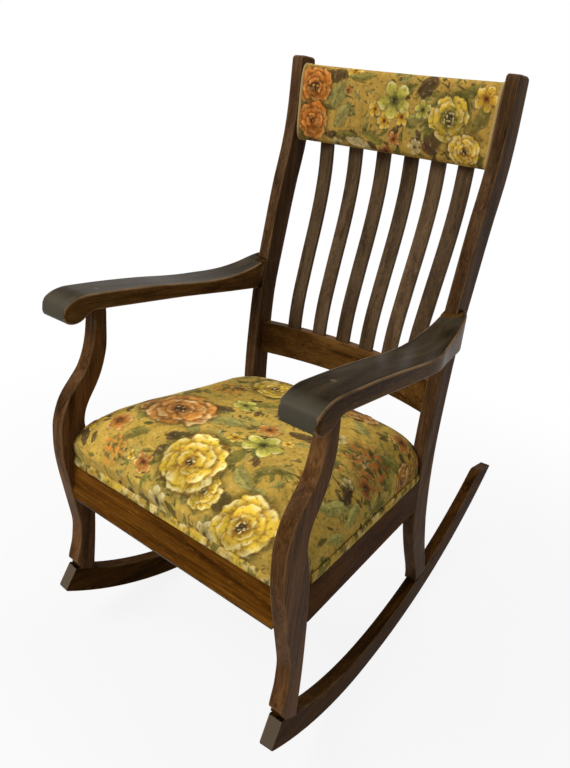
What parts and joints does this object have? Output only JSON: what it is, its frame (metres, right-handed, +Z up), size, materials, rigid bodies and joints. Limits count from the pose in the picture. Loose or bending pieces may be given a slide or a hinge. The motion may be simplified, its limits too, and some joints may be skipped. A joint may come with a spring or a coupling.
{
  "type": "rocking chair",
  "caption": "Dark oak rocking armchair on two sawn rockers, with a slatted back, shaped arms, a domed sprung seat and a padded headrest in floral cloth.",
  "frame": {"origin": "centre of the bounding box in plan, on the floor under the rockers", "axes": "+Z up, -Y towards the front of the chair, +X towards the sitter's left arm"},
  "size_m": [0.52, 0.8978, 1.0013],
  "materials": {
    "dark_oak": "aged dark stain under worn shellac",
    "inner_wood": "bare sawn",
    "floral_cloth": "woven floral cloth",
    "cream_cord": "woven cord",
    "stuffing": "cotton and hair felt",
    "jute": "plain weave",
    "spring_steel": "drawn wire"
  },
  "bodies": {
    "root": {"rocker_left": "dark_oak", "rocker_right": "dark_oak", "front_post_left": "dark_oak", "front_post_right": "dark_oak", "back_post_left": "dark_oak", "back_post_right": "dark_oak", "arm_left": "dark_oak", "arm_right": "dark_oak", "front_rail": "dark_oak", "side_rail_left": "dark_oak", "side_rail_right": "dark_oak", "rear_rail": "dark_oak", "lower_back_rail": "dark_oak", "back_slat_1": "dark_oak", "back_slat_2": "dark_oak", "back_slat_3": "dark_oak", "back_slat_4": "dark_oak", "back_slat_5": "dark_oak", "back_slat_6": "dark_oak", "arm_plugs": "dark_oak", "crest_rail": "inner_wood", "corner_blocks": "inner_wood", "rail_dowels": "inner_wood", "foot_dowels": "inner_wood", "arm_dowels": "inner_wood", "seat_cover": "floral_cloth", "seat_border": "floral_cloth", "headrest_cover": "floral_cloth", "headrest_piping": "cream_cord", "seat_stuffing": "stuffing", "headrest_padding": "stuffing", "seat_webbing": "jute", "spring_burlap": "jute", "dust_cover": "jute", "arm_screws": "spring_steel", "webbing_tacks": "spring_steel", "seat_springs": "spring_steel"}
  },
  "joints": []
}
